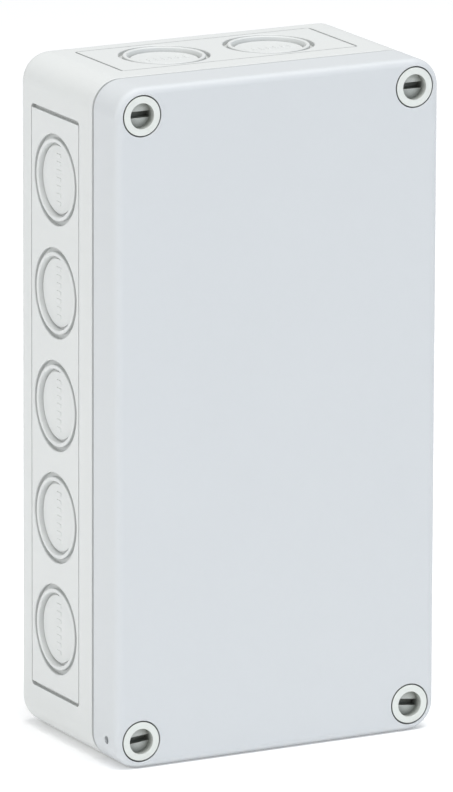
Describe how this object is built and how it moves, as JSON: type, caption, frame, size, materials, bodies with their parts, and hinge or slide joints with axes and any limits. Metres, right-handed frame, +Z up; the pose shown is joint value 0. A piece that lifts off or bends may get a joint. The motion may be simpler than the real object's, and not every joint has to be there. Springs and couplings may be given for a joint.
{
  "type": "electrical junction box",
  "caption": "Upright wall-mounting junction box with a lift-off lid, quarter-turn lid closures, knockout cable entries and a railed terminal set inside.",
  "frame": {"origin": "centre of the flat back face, which lies on the wall", "axes": "+X to the right seen from the front, +Y into the wall, +Z up along the box's length; the lid faces -Y"},
  "size_m": [0.094, 0.057, 0.18],
  "materials": {
    "casing_plastic": "fine moulded grain, light grey",
    "lid_plastic": "fine moulded grain, light grey",
    "closure_plastic": "smooth satin, light green grey",
    "retainer_plastic": "natural nylon",
    "seal_foam": "foamed polyurethane skin",
    "rail_steel": "zinc plated, passivated",
    "screw_steel": "zinc plated",
    "spring_steel": "bright stainless strip",
    "tinned_copper": "tinned copper",
    "terminal_grey": "polyamide, mid grey",
    "terminal_blue": "polyamide, blue",
    "terminal_green_yellow": "polyamide, green with yellow",
    "bracket_plastic": "polyamide, dark grey",
    "marker_white": "blank white"
  },
  "bodies": {
    "base": {"base_box": "casing_plastic", "mounting_rail": "rail_steel", "rail_screw_upper": "screw_steel", "rail_screw_lower": "screw_steel", "end_bracket_upper": "bracket_plastic", "end_bracket_lower": "bracket_plastic", "bracket_screw_upper": "screw_steel", "bracket_screw_lower": "screw_steel", "terminal_end_plate": "terminal_grey", "marker_strip": "marker_white", "earth_rail_foot": "spring_steel", "terminal_line_1": "terminal_grey", "current_bar_line_1": "tinned_copper", "clamp_spring_line_1_left": "spring_steel", "clamp_spring_line_1_right": "spring_steel", "terminal_line_2": "terminal_grey", "current_bar_line_2": "tinned_copper", "clamp_spring_line_2_left": "spring_steel", "clamp_spring_line_2_right": "spring_steel", "terminal_line_3": "terminal_grey", "current_bar_line_3": "tinned_copper", "clamp_spring_line_3_left": "spring_steel", "clamp_spring_line_3_right": "spring_steel", "terminal_neutral": "terminal_blue", "current_bar_neutral": "tinned_copper", "clamp_spring_neutral_left": "spring_steel", "clamp_spring_neutral_right": "spring_steel", "terminal_earth": "terminal_green_yellow", "current_bar_earth": "tinned_copper", "clamp_spring_earth_left": "spring_steel", "clamp_spring_earth_right": "spring_steel"},
    "lid": {"lid_cover": "lid_plastic", "lid_seal": "seal_foam"},
    "closure_top_left": {"lid_screw_top_left": "closure_plastic", "screw_retainer_top_left": "retainer_plastic"},
    "closure_top_right": {"lid_screw_top_right": "closure_plastic", "screw_retainer_top_right": "retainer_plastic"},
    "closure_bottom_left": {"lid_screw_bottom_left": "closure_plastic", "screw_retainer_bottom_left": "retainer_plastic"},
    "closure_bottom_right": {"lid_screw_bottom_right": "closure_plastic", "screw_retainer_bottom_right": "retainer_plastic"}
  },
  "joints": [
    {"name": "lid_lift_off", "type": "slide", "parent": "base", "child": "lid", "axis": [0, -1, 0], "range_m": [0, 0.08]},
    {"name": "quarter_turn_top_left", "type": "hinge", "parent": "lid", "child": "closure_top_left", "pos_m": [-0.03965, -0.05, 0.08265], "axis": [0, 1, 0], "range_deg": [0, 90]},
    {"name": "quarter_turn_top_right", "type": "hinge", "parent": "lid", "child": "closure_top_right", "pos_m": [0.03965, -0.05, 0.08265], "axis": [0, 1, 0], "range_deg": [0, 90]},
    {"name": "quarter_turn_bottom_left", "type": "hinge", "parent": "lid", "child": "closure_bottom_left", "pos_m": [-0.03965, -0.05, -0.08265], "axis": [0, 1, 0], "range_deg": [0, 90]},
    {"name": "quarter_turn_bottom_right", "type": "hinge", "parent": "lid", "child": "closure_bottom_right", "pos_m": [0.03965, -0.05, -0.08265], "axis": [0, 1, 0], "range_deg": [0, 90]}
  ]
}
